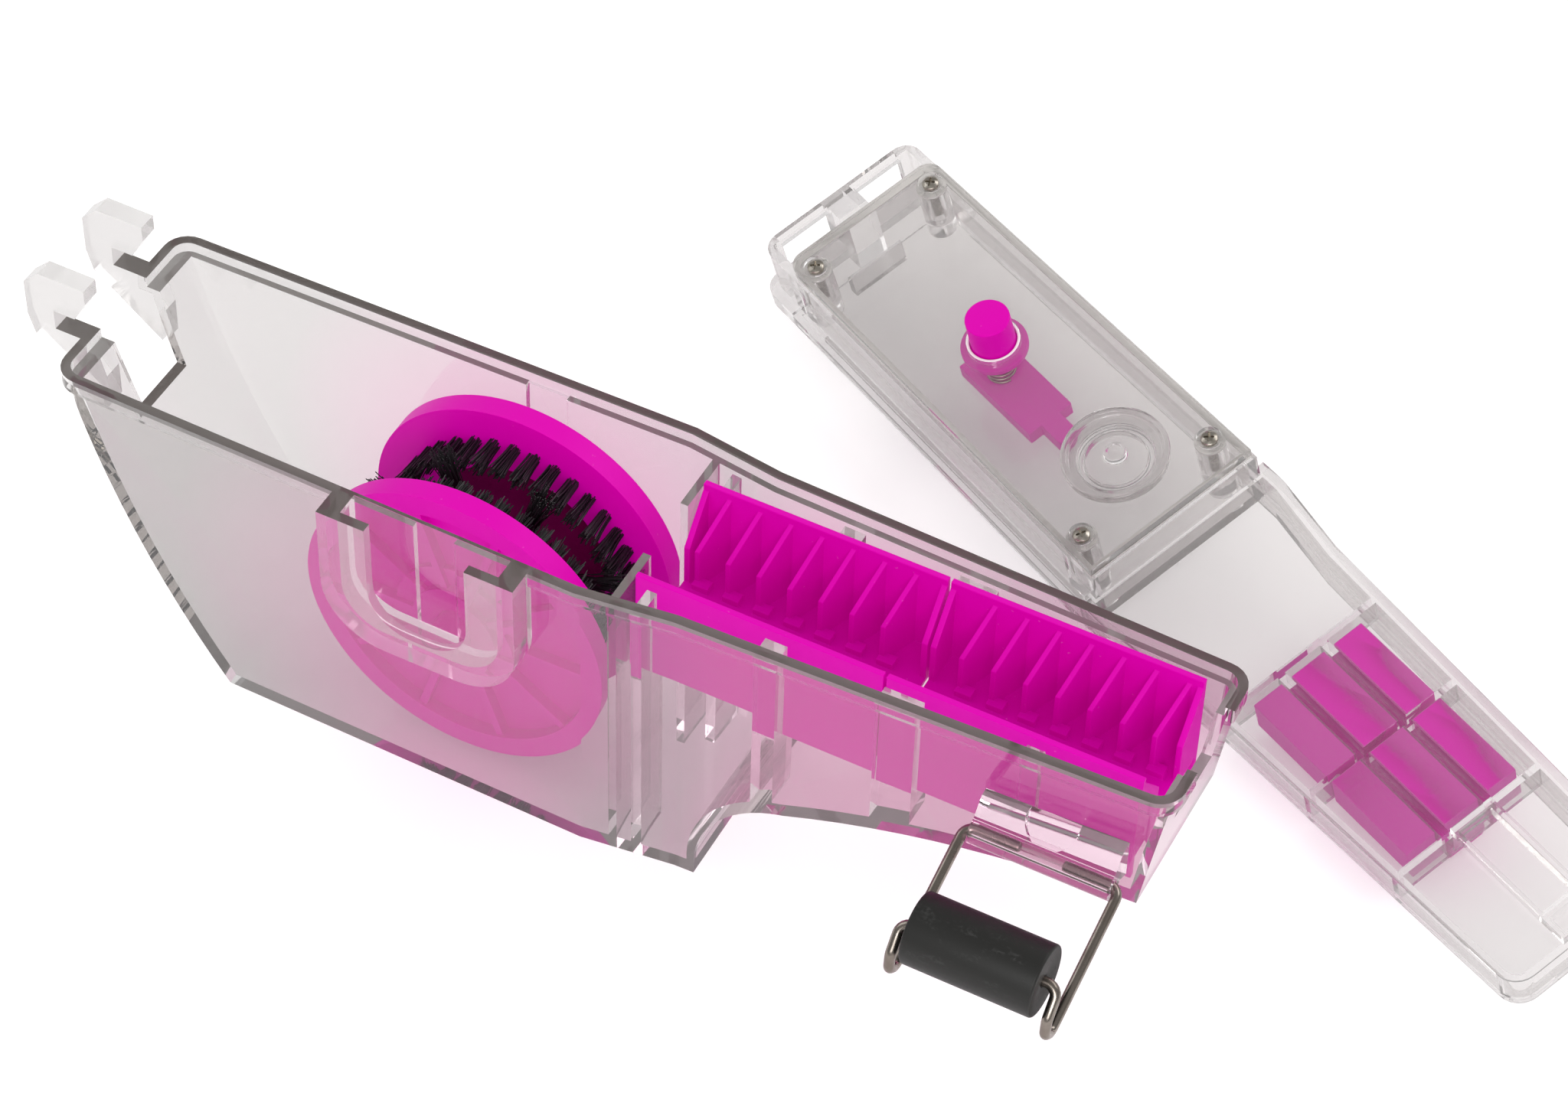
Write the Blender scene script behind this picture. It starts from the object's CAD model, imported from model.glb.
import math

import bmesh
import bpy
from mathutils import Matrix, Vector


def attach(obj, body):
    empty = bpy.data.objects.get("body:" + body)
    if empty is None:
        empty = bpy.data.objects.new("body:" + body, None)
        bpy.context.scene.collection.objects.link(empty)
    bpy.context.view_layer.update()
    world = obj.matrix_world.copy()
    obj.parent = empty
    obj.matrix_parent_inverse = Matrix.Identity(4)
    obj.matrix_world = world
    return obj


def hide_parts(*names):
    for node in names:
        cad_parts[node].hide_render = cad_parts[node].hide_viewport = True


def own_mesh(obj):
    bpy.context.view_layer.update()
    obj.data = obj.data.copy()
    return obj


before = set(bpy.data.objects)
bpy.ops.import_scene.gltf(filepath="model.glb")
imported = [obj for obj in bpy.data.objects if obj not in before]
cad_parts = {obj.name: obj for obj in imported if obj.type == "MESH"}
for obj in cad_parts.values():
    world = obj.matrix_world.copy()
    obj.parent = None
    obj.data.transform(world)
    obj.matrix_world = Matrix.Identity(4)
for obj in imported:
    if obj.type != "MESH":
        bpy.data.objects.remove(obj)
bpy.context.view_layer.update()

mm = 0.001
scene = bpy.context.scene
scene.view_settings.view_transform = "Standard"
print("stage: frame loaded,", len(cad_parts), "nodes")


# One output socket of a node tree, so that maths on values reads like maths
class Wire:
    def __init__(self, graph, socket):
        self.graph, self.socket = graph, socket

    def maths(self, operation, *values):
        return self.graph.add("ShaderNodeMath", {"operation": operation}, dict(enumerate(values)))

    def other(self, name):                       # another output of the same node
        return Wire(self.graph, self.socket.node.outputs[name])

    def __add__(self, value):
        return self.maths("ADD", self, value)

    def __radd__(self, value):
        return self.maths("ADD", value, self)

    def __sub__(self, value):
        return self.maths("SUBTRACT", self, value)

    def __rsub__(self, value):
        return self.maths("SUBTRACT", value, self)

    def __mul__(self, value):
        return self.maths("MULTIPLY", self, value)

    def __rmul__(self, value):
        return self.maths("MULTIPLY", value, self)

    def __pow__(self, value):
        return self.maths("POWER", self, value)


# A node tree that grows one node at a time: settings first, then values or links
class Graph:
    def __init__(self, tree):
        self.tree = tree

    def add(self, kind, settings=None, values=None, out=0):
        node = self.tree.nodes.new(kind)
        for key, value in (settings or {}).items():
            setattr(node, key, value)
        for key, value in (values or {}).items():
            if isinstance(value, Wire):
                self.tree.links.new(value.socket, node.inputs[key])
            else:
                node.inputs[key].default_value = value
        return Wire(self, node.outputs[out]) if len(node.outputs) else node

    def ramp(self, value, low, high):            # 0 up to low, 1 from high on
        shade = self.add("ShaderNodeValToRGB", None, {"Fac": value})
        for element, place in zip(shade.socket.node.color_ramp.elements, (low, high)):
            element.position = place
        return shade

    def noise(self, vector, scale, detail=2.0, rough=0.5):
        return self.add("ShaderNodeTexNoise", None,
                        {"Vector": vector, "Scale": scale, "Detail": detail, "Roughness": rough})

    def stretched(self, vector, scale, turn=(0, 0, 0)):
        return self.add("ShaderNodeMapping", None,
                        {"Vector": vector, "Scale": scale, "Rotation": turn})

    def blend(self, share, first, second):
        return self.add("ShaderNodeMix", {"data_type": "RGBA"}, {0: share, 6: first, 7: second}, out=2)

    def bump(self, height, strength, distance):
        return self.add("ShaderNodeBump", None,
                        {"Height": height, "Strength": strength, "Distance": distance})


def newMaterial(name):
    material = bpy.data.materials.new(name)
    material.use_nodes = True
    material.node_tree.nodes.clear()
    graph = Graph(material.node_tree)
    place = graph.add("ShaderNodeTexCoord", out="Object")
    return material, graph, place


def finishMaterial(graph, surface):
    graph.add("ShaderNodeOutputMaterial", None, {"Surface": surface})


def linear(*rgb):                                # written as screen values from 0 to 255
    return tuple((c / 255 / 12.92 if c <= 10 else ((c / 255 + 0.055) / 1.055) ** 2.4) for c in rgb) + (1.0,)


# Camera at the photograph's angle, found by least squares from the tank's edges and the wheel
camera = {"sensor": 36.0, "focalPixels": 6032.9, "framePixels": 2048.0, "near": 0.01, "far": 20.0,
          "elevation": 0.828309, "azimuth": 0.455760, "roll": 0.034482, "place": (305.70, -501.02, 681.69)}


def makeCamera(c):
    data = bpy.data.cameras.new("camera")
    data.sensor_width = c["sensor"]
    data.lens = c["sensor"] * c["focalPixels"] / c["framePixels"]
    data.clip_start, data.clip_end = c["near"], c["far"]
    a, e, r = c["azimuth"], c["elevation"], c["roll"]
    right = Vector((math.cos(a), math.sin(a), 0))
    ahead = Vector((-math.sin(a) * math.cos(e), math.cos(a) * math.cos(e), -math.sin(e)))
    up = right.cross(ahead)
    x = right * math.cos(r) + up * math.sin(r)
    y = up * math.cos(r) - right * math.sin(r)
    turn = Matrix((x, y, -ahead)).transposed().to_4x4()
    seen = bpy.data.objects.new("camera", data)
    seen.matrix_world = Matrix.Translation(Vector(c["place"]) * mm) @ turn
    scene.collection.objects.link(seen)
    scene.camera = seen


makeCamera(camera)

# Softboxes: where they stand, what they point at, size in metres and power in watts
middle = (0.08, 0.06, 0.02)
lamps = {
    "backKey": {"at": (0.75, 0.95, 1.15), "size": (1.1, 0.8), "power": 6.0, "tint": (1.0, 0.985, 0.97)},
    "leftFill": {"at": (-1.1, -0.1, 0.9), "size": (0.9, 0.9), "power": 3.0, "tint": (0.98, 0.99, 1.0)},
    "frontFill": {"at": (0.5, -1.2, 0.9), "size": (1.0, 0.6), "power": 11.0, "tint": (1.0, 1.0, 1.0)},
}


def makeLamps():
    for name, lamp in lamps.items():
        data = bpy.data.lights.new(name, "AREA")
        data.shape = "RECTANGLE"
        data.size, data.size_y = lamp["size"]
        data.energy, data.color = lamp["power"], lamp["tint"]
        light = bpy.data.objects.new(name, data)
        way = Vector(middle) - Vector(lamp["at"])
        light.matrix_world = Matrix.Translation(lamp["at"]) @ way.to_track_quat("-Z", "Y").to_matrix().to_4x4()
        scene.collection.objects.link(light)


makeLamps()


# Level is the light from all round, mirrored is how bright shiny pieces see it
studio = {"level": 0.85, "mirrored": 0.34, "light": (1.0, 0.99, 0.985, 1.0), "white": (1.0, 1.0, 1.0, 1.0),
          "floorColour": (0.87, 0.86, 0.86, 1.0), "floorPatch": (0.9, 0.895, 0.905, 1.0),
          "floorGrain": (3.0, 3.0), "floorPatches": 0.35, "floorRough": 0.9, "floorLift": 0.2,
          "floorSize": 6.0, "floorDrop": 0.1}


def seenStraight(graph):                         # 1 for rays from the camera or through clear plastic
    path = graph.add("ShaderNodeLightPath", out="Is Camera Ray")
    return path, path.maths("MAXIMUM", path, path.other("Is Transmission Ray"))


def makeStudio(s):
    world = bpy.data.worlds.new("world")
    scene.world = world
    world.use_nodes = True
    world.node_tree.nodes.clear()
    graph = Graph(world.node_tree)
    path, seen = seenStraight(graph)
    strength = path.other("Is Glossy Ray") * (s["mirrored"] - s["level"]) + s["level"]
    lit = graph.add("ShaderNodeBackground", None, {"Color": s["light"], "Strength": strength})
    shown = graph.add("ShaderNodeBackground", None, {"Color": s["white"], "Strength": 1.0})
    both = graph.add("ShaderNodeMixShader", None, {0: seen, 1: lit, 2: shown})
    graph.add("ShaderNodeOutputWorld", None, {"Surface": both})
    material, graph, place = newMaterial("paleFloor")
    paper = graph.noise(place, *s["floorGrain"])
    colour = graph.blend(paper * s["floorPatches"], s["floorColour"], s["floorPatch"])
    diffuse = graph.add("ShaderNodeBsdfPrincipled", None, {
        "Base Color": colour, "Roughness": s["floorRough"], "Specular IOR Level": 0.0})
    path, seen = seenStraight(graph)
    glow = graph.add("ShaderNodeEmission", None, {"Color": s["white"], "Strength": seen * s["floorLift"]})
    finishMaterial(graph, graph.add("ShaderNodeAddShader", None, {0: diffuse, 1: glow}))
    half = s["floorSize"] / 2
    mesh = bpy.data.meshes.new("floor")
    mesh.from_pydata([(x, y, -s["floorDrop"] * mm) for x, y in
                      ((-half, -half), (half, -half), (half, half), (-half, half))], [], [(0, 1, 2, 3)])
    mesh.materials.append(material)
    floor = bpy.data.objects.new("floor", mesh)
    scene.collection.objects.link(floor)


makeStudio(studio)
print("stage: camera, lamps and floor")


# The pink that the wheel and the combs throw on the clear walls near them. Reaches in metres
blushReach = {"wheel": (0.0, 0.0, 0.0363), "near": 0.036, "far": 0.062,
              "combStart": 0.035, "combFull": 0.06, "share": 0.7}


def warmth(graph, place):
    b = blushReach
    away = graph.add("ShaderNodeVectorMath", {"operation": "DISTANCE"}, {0: place, 1: b["wheel"]}, out=1)
    wheelGlow = (b["far"] - away) * (1 / (b["far"] - b["near"]))
    along = graph.add("ShaderNodeSeparateXYZ", None, {0: place})
    combGlow = (along - b["combStart"]) * (1 / (b["combFull"] - b["combStart"]))
    glow = along.maths("MAXIMUM", wheelGlow, combGlow)
    glow = glow.maths("MINIMUM", glow, 1.0)
    return glow.maths("MAXIMUM", glow, 0.0) * b["share"]


# Clear polycarbonate. Lamps and soft light pass it, so that what it encloses stays lit. A ray that a wall has led
# on for long leaves it dimmed. The attributes edgeShade and frost mark dark edges and milky places.
# Here and below, a noise is its scale, detail and roughness, a bump its strength and height in metres
def clearPlastic(name, look):
    material, graph, place = newMaterial(name)
    wavy = graph.noise(graph.stretched(place, look["waveStretch"]), *look["waves"])
    fine = graph.noise(graph.stretched(place, look["lineStretch"], look["lineTurn"]), *look["lines"])
    lines = graph.ramp(fine, *look["lineEnds"])
    specks = graph.ramp(graph.noise(place, *look["specks"]), *look["speckEnds"])
    height = wavy * look["wave"] + (lines + specks) * look["scratch"]
    normal = graph.bump(height, *look["bump"])
    path = graph.add("ShaderNodeLightPath", out="Is Shadow Ray")
    inside = graph.add("ShaderNodeNewGeometry", out="Backfacing")     # an edge is dark only from outside
    edge = graph.add("ShaderNodeAttribute", {"attribute_name": "edgeShade"}, out="Fac") * (1 - inside)
    frost = graph.add("ShaderNodeAttribute", {"attribute_name": "frost"}, out="Fac")
    roughness = look["rough"] + lines * look["lineRough"] + specks * look["speckRough"]
    blush = warmth(graph, place) if look["blush"] else 0.0
    glass = graph.add("ShaderNodeBsdfPrincipled", None, {
        "Base Color": graph.blend(blush, look["tint"], look["pinkTint"]), "Roughness": roughness,
        "IOR": look["index"], "Transmission Weight": 1.0, "Normal": normal})
    milk = graph.blend(blush, look["milk"], look["pinkMilk"])
    veil = graph.add("ShaderNodeBsdfPrincipled", None, {
        "Base Color": graph.blend(edge, milk, look["edge"]), "Roughness": look["veilRough"], "IOR": look["index"]})
    share = edge.maths("MAXIMUM", edge * look["edgeShare"], frost * look["frostShare"])
    share = share.maths("MAXIMUM", share, look["haze"] + lines * look["haze"])
    body = graph.add("ShaderNodeMixShader", None, {0: share, 1: glass, 2: veil})
    long = path.maths("MAXIMUM", path.maths("GREATER_THAN", path.other("Ray Depth"), look["longWay"]),
                      path.maths("GREATER_THAN", path.other("Glossy Depth"), look["mirrorings"]))
    dimmed = graph.add("ShaderNodeBsdfTransparent", None, {"Color": look["dimmed"]})
    window = graph.add("ShaderNodeBsdfTransparent", None, {"Color": look["passed"]})
    shown = graph.add("ShaderNodeMixShader", None, {0: long, 1: body, 2: dimmed})
    soft = path.maths("MAXIMUM", path, path.other("Is Diffuse Ray"))
    finishMaterial(graph, graph.add("ShaderNodeMixShader", None, {0: soft, 1: shown, 2: window}))
    return material


tankLook = {"blush": True, "tint": (0.65, 0.64, 0.635, 1), "pinkTint": (0.82, 0.58, 0.7, 1),
            "milk": (0.72, 0.71, 0.705, 1), "pinkMilk": (0.88, 0.72, 0.78, 1), "edge": linear(74, 68, 64),
            "index": 1.5, "rough": 0.004, "lineRough": 0.03, "speckRough": 0.08, "veilRough": 0.22,
            "waveStretch": (1.0, 1.0, 0.4), "waves": (60.0, 1.5), "wave": 0.015, "scratch": 0.01,
            "bump": (0.25, 0.0006), "lineStretch": (6.0, 1.0, 1.0), "lineTurn": (0, 0.5, 0.9),
            "lines": (420.0, 4.0, 0.7), "lineEnds": (0.64, 0.72), "specks": (900.0, 2.0), "speckEnds": (0.76, 0.82),
            "edgeShare": 0.9, "frostShare": 0.65, "haze": 0.03, "longWay": 6.0, "mirrorings": 2.5,
            "dimmed": (0.82, 0.81, 0.8, 1), "passed": (0.95, 0.95, 0.95, 1)}
lidLook = dict(tankLook, blush=False, tint=(0.76, 0.745, 0.74, 1), rough=0.015, wave=0.04, waves=(90.0, 1.5),
               scratch=0.02, haze=0.05, longWay=8.0, dimmed=(0.88, 0.87, 0.865, 1), passed=(0.9, 0.9, 0.9, 1))


moulding = {"cloud": (60.0, 3.0), "cloudEnds": (0.3, 0.7), "cloudShare": 0.45, "cloudRough": 0.12, "cloudBump": 2.0,
            "drag": (1400.0, 3.0), "dragStretch": (1.0, 1.0, 0.08), "dragRough": 0.1, "height": 0.0001,
            "dust": (1100.0, 1.0), "dustEnds": (0.76, 0.82), "dustShare": 0.12, "dustColour": (0.9, 0.4, 0.75, 1.0),
            "shine": 0.2, "shineTint": (1.0, 0.25, 0.8, 1.0), "glowReach": (0.004, 0.0005, 0.003), "glowScale": 0.3}


# Fluorescent plastic: lift is the share of its colour that it gives off in the shade
def mouldedPlastic(name, colour, deep, rough, grain, glow, lift):
    material, graph, place = newMaterial(name)
    m = moulding
    cloud = graph.noise(place, *m["cloud"])
    drag = graph.noise(graph.stretched(place, m["dragStretch"]), *m["drag"])
    shade = graph.ramp(cloud, *m["cloudEnds"])
    dust = graph.ramp(graph.noise(place, *m["dust"]), *m["dustEnds"])
    base = graph.blend(shade * m["cloudShare"], colour, deep)
    base = graph.blend(dust * m["dustShare"], base, m["dustColour"])
    roughness = rough + cloud * m["cloudRough"] + drag * m["dragRough"]
    normal = graph.bump(drag + cloud * m["cloudBump"], grain, m["height"])
    finishMaterial(graph, graph.add("ShaderNodeBsdfPrincipled", None, {
        "Base Color": base, "Roughness": roughness, "Normal": normal, "Specular IOR Level": m["shine"],
        "Specular Tint": m["shineTint"], "Emission Color": colour, "Emission Strength": lift,
        "Subsurface Weight": glow, "Subsurface Radius": m["glowReach"], "Subsurface Scale": m["glowScale"]}))
    return material


metal = {"patchDetail": (4.0, 0.6), "patchEnds": (0.35, 0.7), "patchShare": 0.6, "patchRough": 0.15,
         "brushStretch": (1.0, 0.2, 0.2), "brushFiner": 9, "brushDetail": 3.0, "brushRough": 0.1,
         "bump": (0.2, 0.00005)}


def bareMetal(name, colour, stain, rough, scale):
    material, graph, place = newMaterial(name)
    m = metal
    patches = graph.ramp(graph.noise(place, scale, *m["patchDetail"]), *m["patchEnds"])
    brushed = graph.noise(graph.stretched(place, m["brushStretch"]), scale * m["brushFiner"], m["brushDetail"])
    base = graph.blend(patches * m["patchShare"], colour, stain)
    roughness = rough + patches * m["patchRough"] + brushed * m["brushRough"]
    finishMaterial(graph, graph.add("ShaderNodeBsdfPrincipled", None, {
        "Base Color": base, "Metallic": 1.0, "Roughness": roughness, "Normal": graph.bump(brushed, *m["bump"])}))
    return material


rubber = {"colour": (0.012, 0.012, 0.011, 1), "chalk": (0.1, 0.1, 0.1, 1), "chalkEnds": (0.45, 0.6),
          "chalkShare": 0.25, "grain": (1500.0, 3.0), "scuff": (130.0, 5.0, 0.65), "scuffStretch": (1.0, 3.0, 3.0),
          "scuffEnds": (0.56, 0.72), "grainHeight": 0.4, "scuffHeight": 0.3, "rough": 0.42, "grainRough": 0.12,
          "chalkRough": 0.2, "shine": 0.35, "bump": (0.2, 0.0001)}


def blackRubber(name):
    material, graph, place = newMaterial(name)
    r = rubber
    grain = graph.noise(place, *r["grain"])
    rubbed = graph.noise(graph.stretched(place, r["scuffStretch"]), *r["scuff"])
    scuff = graph.ramp(rubbed, *r["scuffEnds"])
    chalk = scuff * graph.ramp(grain, *r["chalkEnds"])
    height = grain * r["grainHeight"] + scuff * r["scuffHeight"]
    finishMaterial(graph, graph.add("ShaderNodeBsdfPrincipled", None, {
        "Base Color": graph.blend(chalk * r["chalkShare"], r["colour"], r["chalk"]),
        "Roughness": r["rough"] + grain * r["grainRough"] + chalk * r["chalkRough"],
        "Specular IOR Level": r["shine"], "Normal": graph.bump(height, *r["bump"])}))
    return material


nylon = {"colour": (0.004, 0.004, 0.004, 1), "streaks": (0.022, 0.022, 0.024, 1), "streak": (2600.0, 2.0),
         "rough": 0.3, "streakRough": 0.25}


def nylonBristle(name):
    material, graph, place = newMaterial(name)
    streak = graph.noise(place, *nylon["streak"])
    finishMaterial(graph, graph.add("ShaderNodeBsdfPrincipled", None, {
        "Base Color": graph.blend(streak, nylon["colour"], nylon["streaks"]),
        "Roughness": nylon["rough"] + streak * nylon["streakRough"]}))
    return material


silicone = {"cloud": (500.0, 3.0), "rough": 0.35, "cloudRough": 0.2, "bump": (0.2, 0.0001), "glow": 0.3,
            "glowReach": (0.002, 0.002, 0.002), "glowScale": 0.3}


def softSeal(name, colour, stain):
    material, graph, place = newMaterial(name)
    s = silicone
    cloud = graph.noise(place, *s["cloud"])
    finishMaterial(graph, graph.add("ShaderNodeBsdfPrincipled", None, {
        "Base Color": graph.blend(cloud, colour, stain), "Roughness": s["rough"] + cloud * s["cloudRough"],
        "Normal": graph.bump(cloud, *s["bump"]), "Subsurface Weight": s["glow"],
        "Subsurface Radius": s["glowReach"], "Subsurface Scale": s["glowScale"]}))
    return material


finishes = {
    "tankClear": clearPlastic("tankClear", tankLook),
    "lidClear": clearPlastic("lidClear", lidLook),
    "magenta": mouldedPlastic("magenta", linear(184, 0, 146), linear(176, 0, 138),
                              rough=0.32, grain=0.1, glow=0.08, lift=0.34),
    "drum": mouldedPlastic("drum", linear(112, 0, 72), linear(92, 0, 58), rough=0.4, grain=0.15, glow=0.05, lift=0.0),
    "bristle": nylonBristle("bristle"),
    "wire": bareMetal("wire", linear(152, 144, 136), linear(104, 92, 84), rough=0.16, scale=160.0),
    "spring": bareMetal("spring", linear(170, 160, 152), linear(140, 120, 108), rough=0.25, scale=500.0),
    "screw": bareMetal("screw", linear(196, 190, 180), linear(120, 112, 98), rough=0.18, scale=900.0),
    "rubber": blackRubber("rubber"),
    "seal": softSeal("seal", linear(240, 238, 236), linear(226, 220, 220)),
    "gasket": softSeal("gasket", linear(214, 212, 208), linear(196, 194, 190)),
}
print("stage: materials")


def newPiece(name, mesh, body, slotName, finish, *nodes):
    mesh.materials.clear()
    mesh.materials.append(finishes[finish])
    piece = bpy.data.objects.new(name, mesh)
    scene.collection.objects.link(piece)
    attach(piece, body)
    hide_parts(*nodes)
    return piece


def smoothed(mesh, angle):
    mesh.shade_smooth()
    mesh.set_sharp_from_angle(angle=math.radians(angle))


def evaluated(holder):                           # the plain mesh of an object with its modifiers
    graph = bpy.context.evaluated_depsgraph_get()
    mesh = bpy.data.meshes.new_from_object(holder.evaluated_get(graph), preserve_all_data_layers=True,
                                           depsgraph=graph)
    bpy.data.objects.remove(holder)
    return mesh


def holderOf(mesh):
    holder = bpy.data.objects.new("holder", mesh)
    scene.collection.objects.link(holder)
    return holder


mergeReach, flatAngle = 0.002, 0.3               # in mm and degrees


def tidied(mesh, solid):
    bmesh.ops.remove_doubles(solid, verts=solid.verts[:], dist=mergeReach * mm)
    bmesh.ops.dissolve_limit(solid, angle_limit=math.radians(flatAngle), verts=solid.verts[:], edges=solid.edges[:])
    solid.to_mesh(mesh)
    solid.free()
    mesh.materials.clear()
    return mesh


# A CAD solid with its loose triangles merged into whole faces
def solidOf(node):
    solid = bmesh.new()
    solid.from_mesh(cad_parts[node].data)
    return tidied(bpy.data.meshes.new("copy"), solid)


def united(first, second):
    holder, other = holderOf(first), holderOf(second)
    join = holder.modifiers.new("join", "BOOLEAN")
    join.operation, join.solver, join.object = "UNION", "EXACT", other
    mesh = evaluated(holder)
    bpy.data.objects.remove(other)
    solid = bmesh.new()
    solid.from_mesh(mesh)
    return tidied(mesh, solid)


def bevelled(mesh, width, segments=2, angle=32):
    smoothed(mesh, angle)
    holder = holderOf(mesh)
    bevel = holder.modifiers.new("bevel", "BEVEL")
    bevel.width, bevel.segments = width * mm, segments
    bevel.limit_method, bevel.angle_limit = "ANGLE", math.radians(angle)
    bevel.use_clamp_overlap = True
    even = holder.modifiers.new("even", "WEIGHTED_NORMAL")
    even.mode, even.weight, even.keep_sharp = "FACE_AREA", 90, True
    return evaluated(holder)


# Marks faces with a value from 0 to 1 that the materials read
def painted(mesh, name, rule):
    mark = mesh.attributes.new(name, "FLOAT", "FACE")
    mark.data.foreach_set("value", [rule(face.center / mm, face.normal) for face in mesh.polygons])


# Heights of the tank's upward edges, and how dark the light they lead away makes them
tankEdges = {"rim": (70.0, 1.0), "ledge": (67.8, 0.9), "ribs": (66.8, 0.35), "inlet": (51.0, 1.0),
             "outlet": (56.0, 0.9)}
edgeReach, topFacing = 0.3, 0.35
# The hooks turn milky towards their tips, and the socket on the front wall is a little milky
hooks = {"place": -83.0, "clearTo": 66.0, "fade": 6.0, "least": 0.15}
socket = {"place": -23.2, "half": 21.0, "frost": 0.22}


def tankShade(spot, normal):
    if normal.z < topFacing or spot.x < hooks["place"]:
        return 0.0
    return max((shade for height, shade in tankEdges.values() if abs(spot.z - height) < edgeReach), default=0.0)


def tankFrost(spot, normal):
    if spot.x < hooks["place"]:
        return min(1.0, max(hooks["least"], (spot.z - hooks["clearTo"]) / hooks["fade"]))
    return socket["frost"] if spot.y < socket["place"] and abs(spot.x) < socket["half"] else 0.0


def noShade(spot, normal):
    return 0.0


# Pieces whose CAD shape is right get softened edges: nodes they replace, body, slot, finish and edge radius in mm
clear = {"slot": "clear_plastic", "edge": 0.25, "shade": noShade, "frost": noShade}
moulded = {"slot": "magenta_plastic", "finish": "magenta"}
softened = {
    "tankBody": dict(clear, nodes=("tank", "bail_bracket"), body="tank", finish="tankClear",
                     shade=tankShade, frost=tankFrost),
    "combFront": dict(moulded, nodes=("comb_insert_1",), body="tank", edge=0.15),
    "combRear": dict(moulded, nodes=("comb_insert_2",), body="tank", edge=0.15),
    "discFront": dict(moulded, nodes=("wheel_disc_front",), body="wheel", edge=0.5),
    "discBack": dict(moulded, nodes=("wheel_disc_back",), body="wheel", edge=0.5),
    "drum": {"nodes": ("wheel_drum",), "body": "wheel", "slot": "drum_plastic", "finish": "drum", "edge": 0.3},
    "axle": dict(moulded, nodes=("wheel_axle",), body="wheel", edge=0.4),
    "lidShell": dict(clear, nodes=("lid_shell",), body="lid", finish="lidClear"),
    "coverPlate": dict(clear, nodes=("cover_plate",), body="lid", finish="lidClear"),
    "gasket": {"nodes": ("cover_gasket",), "body": "lid", "slot": "gasket_rubber", "finish": "gasket", "edge": 0.1},
    "valveBlock": dict(moulded, nodes=("valve_block",), body="lid", edge=0.25),
    "lidCombFront": dict(moulded, nodes=("lid_comb_1",), body="lid", edge=0.2),
    "lidCombRear": dict(moulded, nodes=("lid_comb_2",), body="lid", edge=0.2),
}
for name, s in softened.items():
    mesh = solidOf(s["nodes"][0])
    for node in s["nodes"][1:]:
        mesh = united(mesh, solidOf(node))
    mesh = bevelled(mesh, s["edge"])
    if "shade" in s:
        painted(mesh, "edgeShade", s["shade"])
        painted(mesh, "frost", s["frost"])
    newPiece(name, mesh, s["body"], s["slot"], s["finish"], *s["nodes"])
print("stage: softened pieces")


arcShare = 0.45                                  # of an edge, which an arc at its corner may take up


# Corner points replaced by short arcs of the given radius
def rounded(points, radius, steps=4):
    points = [Vector(p) for p in points]
    path = [points[0]]
    for before, corner, after in zip(points, points[1:], points[2:]):
        a, b = before - corner, after - corner
        half = a.angle(b) / 2
        reach = min(radius / math.tan(half), arcShare * a.length, arcShare * b.length)
        a.normalize(), b.normalize()
        centre = corner + (a + b).normalized() * (reach / math.cos(half))
        start, end = corner + a * reach - centre, corner + b * reach - centre
        axis, sweep = start.cross(end).normalized(), start.angle(end)
        path += [centre + Matrix.Rotation(sweep * k / steps, 3, axis) @ start for k in range(steps + 1)]
    return path + [points[-1]]


def wireMesh(points, radius, sides, ends):       # a round wire along the points, its ends rounded by steps
    solid = bmesh.new()
    rings, side = [], None
    ways = [(b - a).normalized() for a, b in zip(points, points[1:])]
    ways = [ways[0]] + [(a + b).normalized() for a, b in zip(ways, ways[1:])] + [ways[-1]]
    stops = [(points[0] - ways[0] * out, ways[0], share) for out, share in reversed(ends)]
    stops += [(point, way, 1.0) for point, way in zip(points, ways)]
    stops += [(points[-1] + ways[-1] * out, ways[-1], share) for out, share in ends]
    for point, way, share in stops:
        side = way.orthogonal() if side is None else side
        side = (side - way * side.dot(way)).normalized()
        across = way.cross(side)
        rings.append([solid.verts.new(point + radius * share * (math.cos(t) * side + math.sin(t) * across))
                      for t in (2 * math.pi * k / sides for k in range(sides))])
    for low, high in zip(rings, rings[1:]):
        for k in range(sides):
            solid.faces.new((low[k], low[(k + 1) % sides], high[(k + 1) % sides], high[k]))
    solid.faces.new(rings[0][::-1])
    solid.faces.new(rings[-1])
    bmesh.ops.recalc_face_normals(solid, faces=solid.faces[:])
    mesh = bpy.data.meshes.new("wire")
    solid.to_mesh(mesh)
    solid.free()
    return mesh


onAxis = 1e-9                                    # metres, less than any real radius


def turned(profile, steps=72, place=Matrix.Identity(4), angle=35):   # a lathe: a closed outline of (radius, height)
    solid = bmesh.new()
    columns = []
    for radius, height in profile:
        if radius < onAxis:
            columns.append([solid.verts.new((0, 0, height))] * steps)
        else:
            columns.append([solid.verts.new((radius * math.cos(t), radius * math.sin(t), height))
                            for t in (2 * math.pi * k / steps for k in range(steps))])
    closed = profile[0][0] > onAxis or profile[-1][0] > onAxis
    pairs = zip(columns, columns[1:] + columns[:1]) if closed else zip(columns, columns[1:])
    for low, high in pairs:
        for k in range(steps):
            corners = [low[k], low[(k + 1) % steps], high[(k + 1) % steps], high[k]]
            corners = [c for i, c in enumerate(corners) if c not in corners[:i]]
            if len(corners) > 2:
                solid.faces.new(corners)
    bmesh.ops.recalc_face_normals(solid, faces=solid.faces[:])
    solid.transform(place)
    mesh = bpy.data.meshes.new("turned")
    solid.to_mesh(mesh)
    solid.free()
    smoothed(mesh, angle)
    return mesh


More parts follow.
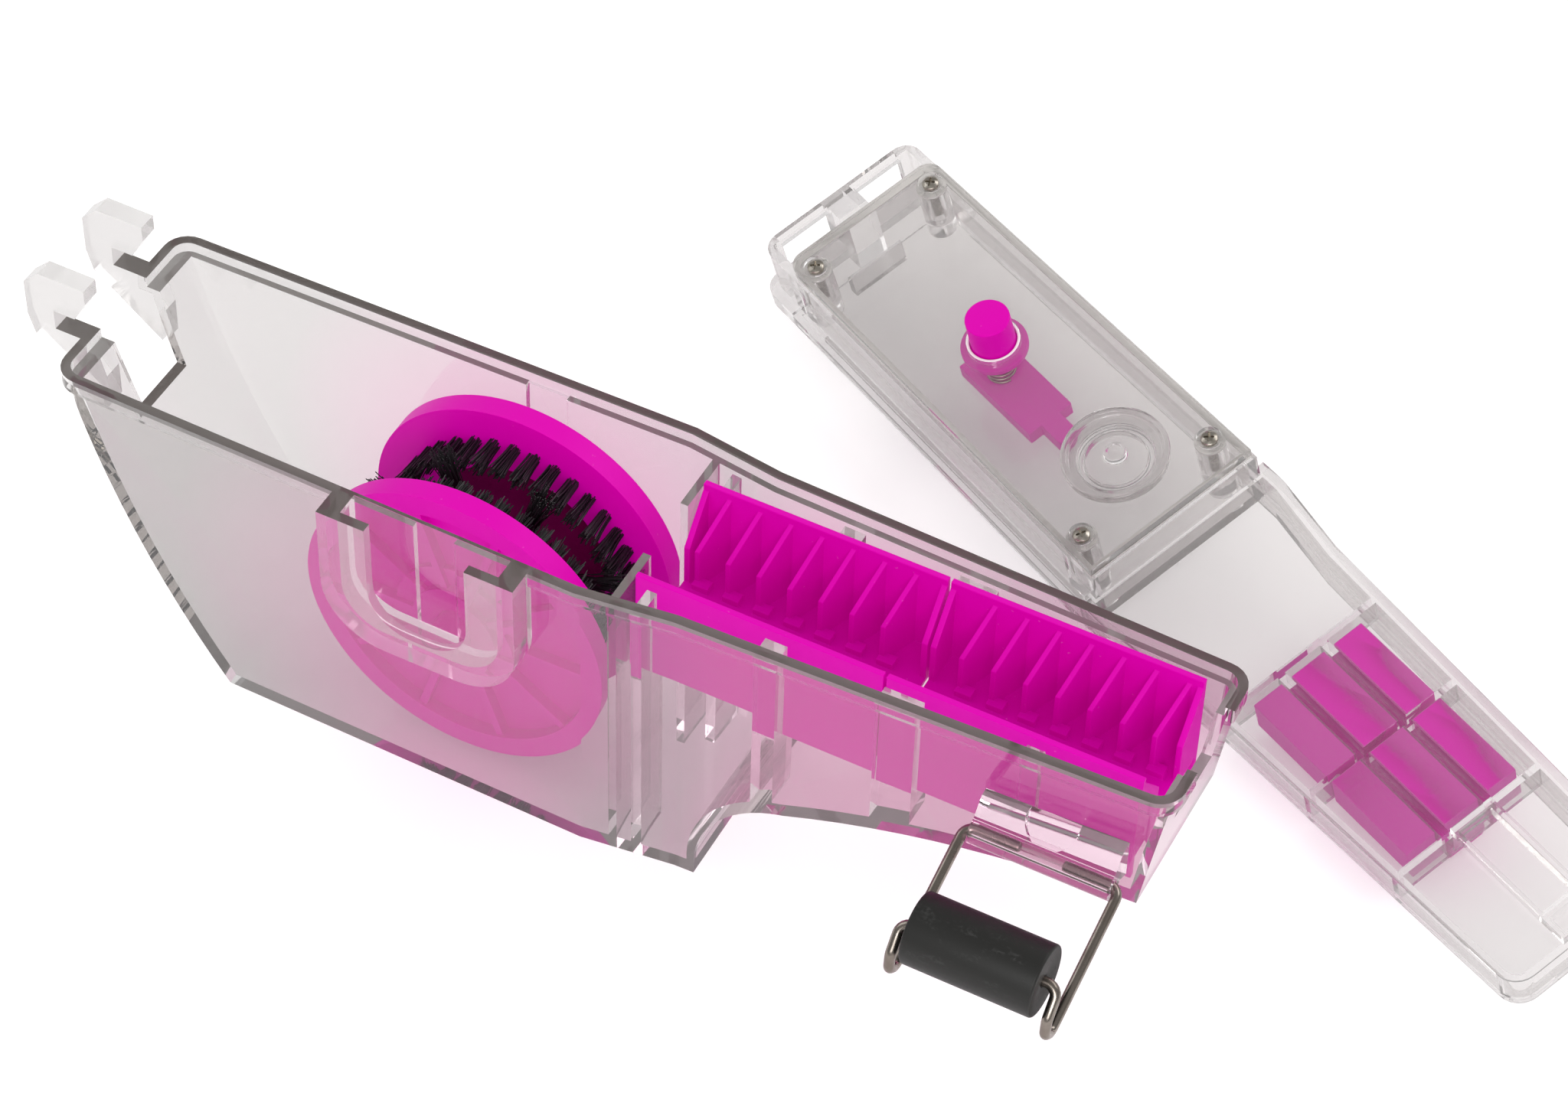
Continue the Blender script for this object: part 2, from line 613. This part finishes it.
def softOutline(points, radius, steps=4):        # an open outline of (radius, height) in mm with rounded corners
    return [(p.x * mm, p.y * mm) for p in rounded([(x, y, 0) for x, y in points], radius, steps)]


# Node trees that grow repeated pieces. Each has named inputs and ends in Realize Instances and Set Material
def newGrowth(name, inputs):
    tree = bpy.data.node_groups.new(name, "GeometryNodeTree")
    tree.interface.new_socket("Geometry", in_out="INPUT", socket_type="NodeSocketGeometry")
    tree.interface.new_socket("Geometry", in_out="OUTPUT", socket_type="NodeSocketGeometry")
    for label, kind in inputs.items():
        tree.interface.new_socket(label, in_out="INPUT", socket_type="NodeSocket" + kind)
    graph = Graph(tree)
    return graph, graph.add("NodeGroupInput")


def closeGrowth(graph, inputs, geometry):
    whole = graph.add("GeometryNodeRealizeInstances", None, {"Geometry": geometry})
    dressed = graph.add("GeometryNodeSetMaterial", None, {"Geometry": whole, "Material": inputs.other("Material")})
    graph.add("NodeGroupOutput", None, {0: dressed})
    return graph.tree


def grown(tree, start, finish, values):
    holder = holderOf(start)
    growth = holder.modifiers.new("growth", "NODES")
    growth.node_group = tree
    values = dict(values, Material=finishes[finish])
    for item in tree.interface.items_tree:
        if item.in_out == "INPUT" and item.name in values:
            growth[item.identifier] = values[item.name]
    return evaluated(holder)


strand = {"patchSides": 10, "points": 4, "sides": 4, "shortest": 0.84, "splayPower": 1.6, "wanderPower": 2.2}


def tuftTree():
    graph, put = newGrowth("tufts", {
        "Tufts": "Int", "Ring Radius": "Float", "Tuft Radius": "Float", "Filaments": "Int",
        "Filament Radius": "Float", "Length": "Float", "Splay": "Float", "Wander": "Float", "Radial": "Float",
        "Turn": "Float", "Seed": "Int", "Material": "Material"})
    add = graph.add

    def vector(operation, *values):
        return add("ShaderNodeVectorMath", {"operation": operation}, dict(enumerate(values)))

    def scaled(value, share):
        return add("ShaderNodeVectorMath", {"operation": "SCALE"}, {0: value, 3: share})

    def stored(geometry, name, value):
        return add("GeometryNodeStoreNamedAttribute", {"data_type": "FLOAT_VECTOR"},
                   {"Geometry": geometry, "Name": name, "Value": value})

    def named(name):
        return add("GeometryNodeInputNamedAttribute", {"data_type": "FLOAT_VECTOR"}, {"Name": name})

    def standing(way):
        return add("FunctionNodeAlignRotationToVector", {"axis": "Z"}, {"Vector": way})

    position = add("GeometryNodeInputPosition")
    ring = add("GeometryNodeMeshCircle", None, {"Vertices": put.other("Tufts"), "Radius": put.other("Ring Radius")})
    turn = add("ShaderNodeCombineXYZ", None, {"Z": put.other("Turn")})
    ring = add("GeometryNodeTransform", None, {"Geometry": ring, "Rotation": turn})
    radial = put.other("Radial")
    outward = scaled(vector("NORMALIZE", position), radial)
    way = vector("ADD", outward, scaled((0.0, 0.0, 1.0), 1 - radial))
    ring = stored(stored(ring, "root", position), "way", way)
    patch = add("GeometryNodeMeshCircle", {"fill_type": "NGON"},
                {"Vertices": strand["patchSides"], "Radius": put.other("Tuft Radius")})
    patches = add("GeometryNodeInstanceOnPoints", None,
                  {"Points": ring, "Instance": patch, "Rotation": standing(named("way"))})
    patches = add("GeometryNodeRealizeInstances", None, {"Geometry": patches})
    area = put.other("Tuft Radius") * put.other("Tuft Radius") * math.pi
    density = put.other("Filaments").maths("DIVIDE", put.other("Filaments"), area)
    roots = add("GeometryNodeDistributePointsOnFaces", {"distribute_method": "RANDOM"},
                {"Mesh": patches, "Density": density, "Seed": put.other("Seed")})
    chance = add("FunctionNodeRandomValue", {"data_type": "FLOAT_VECTOR"},
                 {0: (-1.0, -1.0, -1.0), 1: (1.0, 1.0, 1.0), "Seed": put.other("Seed")})
    roots = stored(roots, "wander", chance)
    tip = add("ShaderNodeCombineXYZ", None, {"Z": put.other("Length")})
    line = add("GeometryNodeCurvePrimitiveLine", None, {"End": tip})
    line = add("GeometryNodeResampleCurve", None, {"Curve": line, "Count": strand["points"]})
    tall = add("FunctionNodeRandomValue", {"data_type": "FLOAT"},
               {2: strand["shortest"], 3: 1.0, "Seed": put.other("Seed")}, out=1)
    size = add("ShaderNodeCombineXYZ", None, {"X": 1.0, "Y": 1.0, "Z": tall})
    hairs = add("GeometryNodeInstanceOnPoints", None, {
        "Points": roots, "Instance": line, "Rotation": standing(named("way")), "Scale": size})
    hairs = add("GeometryNodeRealizeInstances", None, {"Geometry": hairs})
    along = add("GeometryNodeSplineParameter")
    reach = vector("SUBTRACT", position, named("root"))
    lift = add("ShaderNodeVectorMath", {"operation": "DOT_PRODUCT"}, {0: reach, 1: named("way")}, out=1)
    aside = vector("SUBTRACT", reach, scaled(named("way"), lift))
    spread = scaled(aside, along ** strand["splayPower"] * put.other("Splay"))
    stray = scaled(named("wander"), along ** strand["wanderPower"] * put.other("Wander"))
    hairs = add("GeometryNodeSetPosition", None, {"Geometry": hairs, "Offset": vector("ADD", spread, stray)})
    profile = add("GeometryNodeCurvePrimitiveCircle", None,
                  {"Resolution": strand["sides"], "Radius": put.other("Filament Radius")})
    rods = add("GeometryNodeCurveToMesh", None, {"Curve": hairs, "Profile Curve": profile, "Fill Caps": True})
    return closeGrowth(graph, put, rods)


wheel = {"axleHeight": 36.3, "innerFace": 10.0}
wheelPlace = Matrix.Translation((0, 0, wheel["axleHeight"] * mm))
tufts = {
    "tuftsFront": {"node": "disc_tufts_front", "tip": -90, "at": -1, "values": {
        "Radial": 0.0, "Turn": 0.0, "Seed": 3}},
    "tuftsBack": {"node": "disc_tufts_back", "tip": 90, "at": 1, "values": {
        "Radial": 0.0, "Turn": 0.05, "Seed": 8}},
    "tuftsDrum": {"node": "drum_tufts", "tip": 90, "at": 0, "values": {
        "Tufts": 8, "Ring Radius": 18.5 * mm, "Tuft Radius": 1.7 * mm, "Filaments": 60, "Length": 11.4 * mm,
        "Splay": 0.45, "Wander": 0.9 * mm, "Radial": 1.0, "Turn": math.pi / 8, "Seed": 5}},
}
tuftSizes = {"Tufts": 36, "Ring Radius": 24.6 * mm, "Tuft Radius": 1.3 * mm, "Filaments": 44,
             "Filament Radius": 0.13 * mm, "Length": 7.9 * mm, "Splay": 0.45, "Wander": 0.4 * mm}
tree = tuftTree()
for name, t in tufts.items():
    mesh = grown(tree, bpy.data.meshes.new("start"), "bristle", {**tuftSizes, **t["values"]})
    mesh.transform(wheelPlace @ Matrix.Translation((0, t["at"] * wheel["innerFace"] * mm, 0))
                   @ Matrix.Rotation(math.radians(t["tip"]), 4, "X"))
    smoothed(mesh, angle=60)
    print(name, len(mesh.polygons), "faces")
    newPiece(name, mesh, "wheel", "black_bristle", "bristle", t["node"])
print("stage: bristles")

# Bail: two arms of bent wire that hook up and back into the roller's ends. Sizes in mm, before the tilt
bail = {"hinge": (123.7, -22.5, 50.0), "tilt": 19.0, "radius": 1.0, "pinIn": 4.7, "half": 15.0, "arm": 30.5,
        "back": 29.0, "low": 3.0, "high": 6.3, "rollerAlong": 23.6, "rollerLift": 9.3, "bend": 2.2,
        "bendSteps": 6, "sides": 20, "ends": ((0.25, 0.97), (0.45, 0.85), (0.6, 0.6))}
bailTilt = (Matrix.Translation(Vector(bail["hinge"]) * mm)
            @ Matrix.Rotation(math.radians(bail["tilt"]), 4, "X"))


def makeBail(b):
    half = [(b["pinIn"], 0, 0), (b["half"], 0, 0), (b["half"], -b["back"], 0), (b["half"], -b["arm"], b["low"]),
            (b["half"], -b["back"], b["high"]), (b["half"], -b["rollerAlong"], b["rollerLift"])]
    route = half + [(-x, y, z) for x, y, z in reversed(half)]
    mesh = wireMesh(rounded(route, b["bend"], b["bendSteps"]), b["radius"], b["sides"], b["ends"])
    mesh.transform(bailTilt @ Matrix.Scale(mm, 4))
    smoothed(mesh, angle=50)
    newPiece("bailWire", mesh, "bail", "steel_wire", "wire", "bail_wire")


makeBail(bail)

roller = {"radius": 6.8, "length": 25.0, "bore": 1.05, "edge": 0.5, "dish": 0.35, "ringShare": 0.55,
          "ringDish": 0.4, "sides": 96, "apart": 1e-7}


def makeRoller(r):
    half = r["length"] / 2
    ring = (r["radius"] * r["ringShare"], half - r["dish"] * r["ringDish"])
    side = [(r["bore"], 0), (r["bore"], half - r["dish"]), ring, (r["radius"], half), (r["radius"], 0)]
    outer = softOutline(side, r["edge"], steps=5)
    outline = outer + [(x, -z) for x, z in reversed(outer)]
    place = (bailTilt @ Matrix.Translation(Vector((0, -bail["rollerAlong"], bail["rollerLift"])) * mm)
             @ Matrix.Rotation(math.radians(90), 4, "Y"))
    points = [p for i, p in enumerate(outline) if i == 0 or math.dist(p, outline[i - 1]) > r["apart"]]
    if math.dist(points[0], points[-1]) < r["apart"]:
        points.pop()
    newPiece("rollerBody", turned(points, r["sides"], place), "roller", "black_rubber", "rubber", "roller")


makeRoller(roller)
print("stage: bail and roller")

# The lid lies behind the tank, turned and rolled onto its front edge. Places along it in mm from its hook end
lid = {"at": (7.7, 139.7, 7.5966), "yaw": -26.8, "roll": 15.7887, "button": 50.0, "filler": 90.0,
       "screws": ((9.1, 15.114), (99.2, 16.24))}
lidPlace = (Matrix.Translation(Vector(lid["at"]) * mm) @ Matrix.Rotation(math.radians(lid["yaw"]), 4, "Z")
            @ Matrix.Rotation(math.radians(lid["roll"]), 4, "X"))


def onLid(x, z=0.0, y=0.0):
    return lidPlace @ Matrix.Translation((x * mm, y * mm, z * mm))


button = {"radius": 4.65, "top": 25.5, "flange": 7.0, "flangeLow": 14.2, "flangeHigh": 15.7, "stem": 1.9,
          "stemLow": 5.2, "edge": 0.35, "sides": 96}


def makeButton(b):
    cap = [(0, b["top"]), (b["radius"], b["top"]), (b["radius"], b["flangeHigh"])]
    flange = [(b["flange"], b["flangeHigh"]), (b["flange"], b["flangeLow"])]
    stem = [(b["stem"], b["flangeLow"]), (b["stem"], b["stemLow"]), (0, b["stemLow"])]
    mesh = turned(softOutline(cap + flange + stem, b["edge"], steps=5), b["sides"], onLid(lid["button"]))
    newPiece("buttonCap", mesh, "button", "magenta_plastic", "magenta", "button")


makeButton(button)

seal = {"inner": 4.95, "outer": 5.55, "low": 16.0, "high": 18.0, "edge": 0.22, "sides": 72}


def makeSeal(s):
    middleHeight = (s["low"] + s["high"]) / 2
    upper = [(s["inner"], middleHeight), (s["inner"], s["high"]), (s["outer"], s["high"])]
    lower = [(s["outer"], s["low"]), (s["inner"], s["low"]), (s["inner"], middleHeight)]
    outline = softOutline(upper + lower, s["edge"])[:-1]
    mesh = turned(outline, s["sides"], onLid(lid["button"]))
    newPiece("buttonSeal", mesh, "lid", "white_seal", "seal", "button_seal")


makeSeal(seal)

fillerCap = {"radius": 11.0, "dish": 9.6, "plug": 7.7, "inside": 6.6, "low": 15.0, "seat": 18.0, "top": 20.0,
             "floor": 18.8, "under": 17.5, "knob": 2.3, "knobTop": 20.4, "bowl": 0.35, "bowlWall": 0.3,
             "bowlShare": 0.6, "brimShare": 0.75, "edge": 0.45, "sides": 96}


def makeFillerCap(c):
    knob = [(0, c["knobTop"] - c["bowl"]), (c["knob"] * c["bowlShare"], c["knobTop"] - c["bowlWall"]),
            (c["knob"] * c["brimShare"], c["knobTop"]), (c["knob"], c["knobTop"]), (c["knob"], c["floor"])]
    dish = [(c["dish"], c["floor"]), (c["dish"], c["top"]), (c["radius"], c["top"]), (c["radius"], c["seat"])]
    plug = [(c["plug"], c["seat"]), (c["plug"], c["low"]), (c["inside"], c["low"]), (c["inside"], c["under"])]
    outline = softOutline(knob + dish + plug + [(0, c["under"])], c["edge"])
    mesh = turned(outline, c["sides"], onLid(lid["filler"]))
    painted(mesh, "edgeShade", noShade)
    painted(mesh, "frost", noShade)
    newPiece("fillerLid", mesh, "filler_cap", "clear_plastic", "lidClear", "filler_cap")


makeFillerCap(fillerCap)

spring = {"Radius": 2.95 * mm, "Wire": 0.3 * mm, "Turns": 7.0, "Height": 8.0 * mm}
springLow, springPress = 5.55, 2.5               # in mm: the coil's foot above the lid's underside, its travel
turnSteps, wireSides = 22, 8


def springTree():
    graph, put = newGrowth("spring", {"Radius": "Float", "Wire": "Float", "Turns": "Float", "Height": "Float",
                                      "Material": "Material"})
    coil = graph.add("GeometryNodeCurveSpiral", None, {
        "Resolution": turnSteps, "Rotations": put.other("Turns"), "Start Radius": put.other("Radius"),
        "End Radius": put.other("Radius"), "Height": put.other("Height")})
    profile = graph.add("GeometryNodeCurvePrimitiveCircle", None,
                        {"Resolution": wireSides, "Radius": put.other("Wire")})
    rods = graph.add("GeometryNodeCurveToMesh", None, {"Curve": coil, "Profile Curve": profile, "Fill Caps": True})
    return closeGrowth(graph, put, rods)


springMesh = grown(springTree(), bpy.data.meshes.new("start"), "spring", spring)
springMesh.transform(onLid(lid["button"], springLow + spring["Wire"] / mm))
smoothed(springMesh, angle=50)
springPiece = newPiece("spring", springMesh, "lid", "spring_steel", "spring", "button_spring")
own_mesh(springPiece)

screw = {"head": 1.75, "headHeight": 1.3, "seat": 17.0, "dome": 0.45, "domeShare": 0.55, "domeRise": 0.12,
         "edge": 0.3, "cross": 0.42, "crossLong": 1.05, "crossDeep": 0.7, "crossTurn": 0.3, "shank": 1.0,
         "length": 9.0, "sides": 32, "mostTurned": 3.0, "seed": 4}


def screwMesh(s):
    seat, top = s["seat"], s["seat"] + s["headHeight"]
    outline = softOutline([(0, top), (s["head"] * s["domeShare"], top - s["dome"] * s["domeRise"]),
                           (s["head"], top - s["dome"]), (s["head"], seat), (s["shank"], seat),
                           (s["shank"], seat - s["length"]), (0, seat - s["length"])], s["edge"])
    mesh = turned(outline, s["sides"])
    for turn in (s["crossTurn"], s["crossTurn"] + math.pi / 2):
        cutter = bmesh.new()
        bar = Matrix.Diagonal((2 * s["crossLong"] * mm, s["cross"] * mm, 2 * s["crossDeep"] * mm, 1))
        bmesh.ops.create_cube(cutter, size=1.0, matrix=Matrix.Translation((0, 0, top * mm))
                              @ Matrix.Rotation(turn, 4, "Z") @ bar)
        slotMesh = bpy.data.meshes.new("slot")
        cutter.to_mesh(slotMesh)
        cutter.free()
        holder, other = holderOf(mesh), holderOf(slotMesh)
        cut = holder.modifiers.new("cut", "BOOLEAN")
        cut.operation, cut.solver, cut.object = "DIFFERENCE", "EXACT", other
        mesh = evaluated(holder)
        bpy.data.objects.remove(other)
    smoothed(mesh, angle=30)
    return mesh


def screwTree():
    graph, put = newGrowth("screws", {"Screw": "Object", "Seed": "Int", "Material": "Material"})
    shape = graph.add("GeometryNodeObjectInfo", None, {"Object": put.other("Screw")}, out="Geometry")
    spin = graph.add("FunctionNodeRandomValue", {"data_type": "FLOAT"},
                     {2: 0.0, 3: screw["mostTurned"], "Seed": put.other("Seed")}, out=1)
    turn = graph.add("ShaderNodeCombineXYZ", None, {"Z": spin})
    many = graph.add("GeometryNodeInstanceOnPoints", None, {"Points": put, "Instance": shape, "Rotation": turn})
    return closeGrowth(graph, put, many)


pattern = holderOf(screwMesh(screw))
places = bpy.data.meshes.new("places")
places.from_pydata([(x * mm, side * y * mm, 0) for x, y in lid["screws"] for side in (-1, 1)], [], [])
screwsMesh = grown(screwTree(), places, "screw", {"Screw": pattern, "Seed": screw["seed"]})
bpy.data.objects.remove(pattern)
screwsMesh.transform(lidPlace)
newPiece("lidScrews", screwsMesh, "lid", "screw_steel", "screw", "screw_1", "screw_2", "screw_3", "screw_4")
print("stage: lid fittings")
